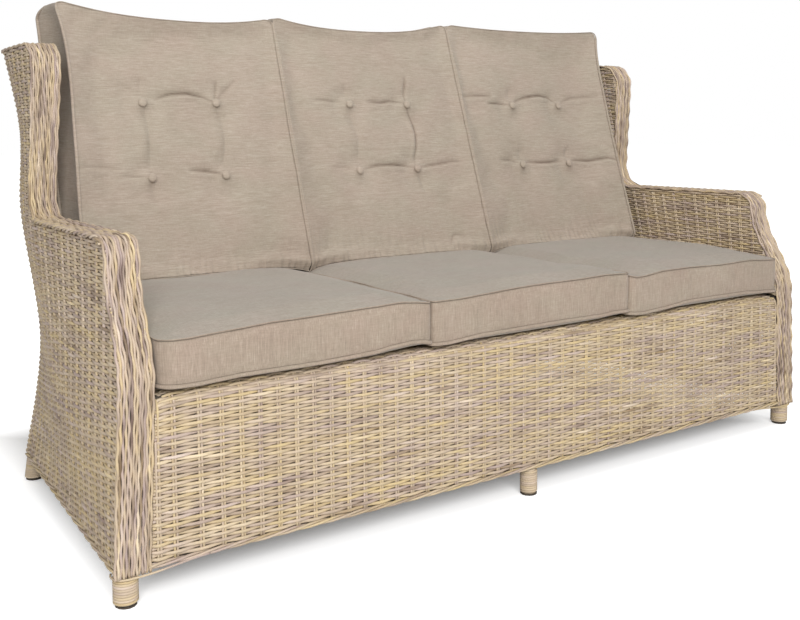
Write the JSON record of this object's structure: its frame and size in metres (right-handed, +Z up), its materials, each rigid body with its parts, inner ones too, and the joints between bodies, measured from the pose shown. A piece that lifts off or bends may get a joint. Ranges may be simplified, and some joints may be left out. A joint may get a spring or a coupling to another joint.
{
  "type": "rattan garden sofa",
  "caption": "Three-seat wing-back garden sofa with woven rattan-style skins over a tube frame and loose seat and tufted back cushions.",
  "frame": {"origin": "middle of the footprint on the floor", "axes": "+X across towards the right of someone who stands in front of the sofa, +Y towards the back, +Z up"},
  "size_m": [1.94, 0.8812, 1.1188],
  "materials": {
    "weave": "satin round strands, mottled from cream and straw to grey-brown along each strand",
    "cane": "satin round strand wound tight, mottled like the weave",
    "fabric": "matt slub weave in warm taupe",
    "frame": "mill finish tube",
    "glide": "matt black"
  },
  "bodies": {
    "frame": {"left_side_band": "weave", "left_outer_side_weave": "weave", "left_inner_side_weave": "weave", "right_side_band": "weave", "right_outer_side_weave": "weave", "right_inner_side_weave": "weave", "front_apron_weave": "weave", "outer_back_weave": "weave", "inner_back_weave": "weave", "back_top_band": "weave", "seat_deck_weave": "weave", "left_arm_tube": "frame", "left_wing_tube": "frame", "left_rear_post": "frame", "left_seat_rail": "frame", "left_hem_rail": "frame", "right_arm_tube": "frame", "right_wing_tube": "frame", "right_rear_post": "frame", "right_seat_rail": "frame", "right_hem_rail": "frame", "front_seat_rail": "frame", "rear_seat_rail": "frame", "front_hem_rail": "frame", "rear_hem_rail": "frame", "back_top_rail": "frame", "left_cross_rail": "frame", "right_cross_rail": "frame", "front_left_foot_wrap": "cane", "rear_left_foot_wrap": "cane", "front_right_foot_wrap": "cane", "rear_right_foot_wrap": "cane", "front_centre_foot": "cane", "rear_centre_foot": "cane", "front_left_glide": "glide", "rear_left_glide": "glide", "front_right_glide": "glide", "rear_right_glide": "glide", "front_centre_glide": "glide", "rear_centre_glide": "glide"},
    "left_seat": {"left_seat_cushion": "fabric"},
    "left_back": {"left_back_cushion": "fabric", "left_back_button_1": "fabric", "left_back_button_2": "fabric", "left_back_button_3": "fabric", "left_back_button_4": "fabric"},
    "middle_seat": {"middle_seat_cushion": "fabric"},
    "middle_back": {"middle_back_cushion": "fabric", "middle_back_button_1": "fabric", "middle_back_button_2": "fabric", "middle_back_button_3": "fabric", "middle_back_button_4": "fabric"},
    "right_seat": {"right_seat_cushion": "fabric"},
    "right_back": {"right_back_cushion": "fabric", "right_back_button_1": "fabric", "right_back_button_2": "fabric", "right_back_button_3": "fabric", "right_back_button_4": "fabric"}
  },
  "joints": [
    {"name": "left_seat_cushion_slide", "type": "slide", "parent": "frame", "child": "left_seat", "axis": [0, -1, 0], "range_m": [0, 0.65]},
    {"name": "middle_seat_cushion_slide", "type": "slide", "parent": "frame", "child": "middle_seat", "axis": [0, -1, 0], "range_m": [0, 0.65]},
    {"name": "right_seat_cushion_slide", "type": "slide", "parent": "frame", "child": "right_seat", "axis": [0, -1, 0], "range_m": [0, 0.65]},
    {"name": "left_back_cushion_lift", "type": "slide", "parent": "frame", "child": "left_back", "axis": [0, 0.2706, 0.9627], "range_m": [0, 0.5]},
    {"name": "middle_back_cushion_lift", "type": "slide", "parent": "frame", "child": "middle_back", "axis": [0, 0.2706, 0.9627], "range_m": [0, 0.5]},
    {"name": "right_back_cushion_lift", "type": "slide", "parent": "frame", "child": "right_back", "axis": [0, 0.2706, 0.9627], "range_m": [0, 0.5]}
  ]
}
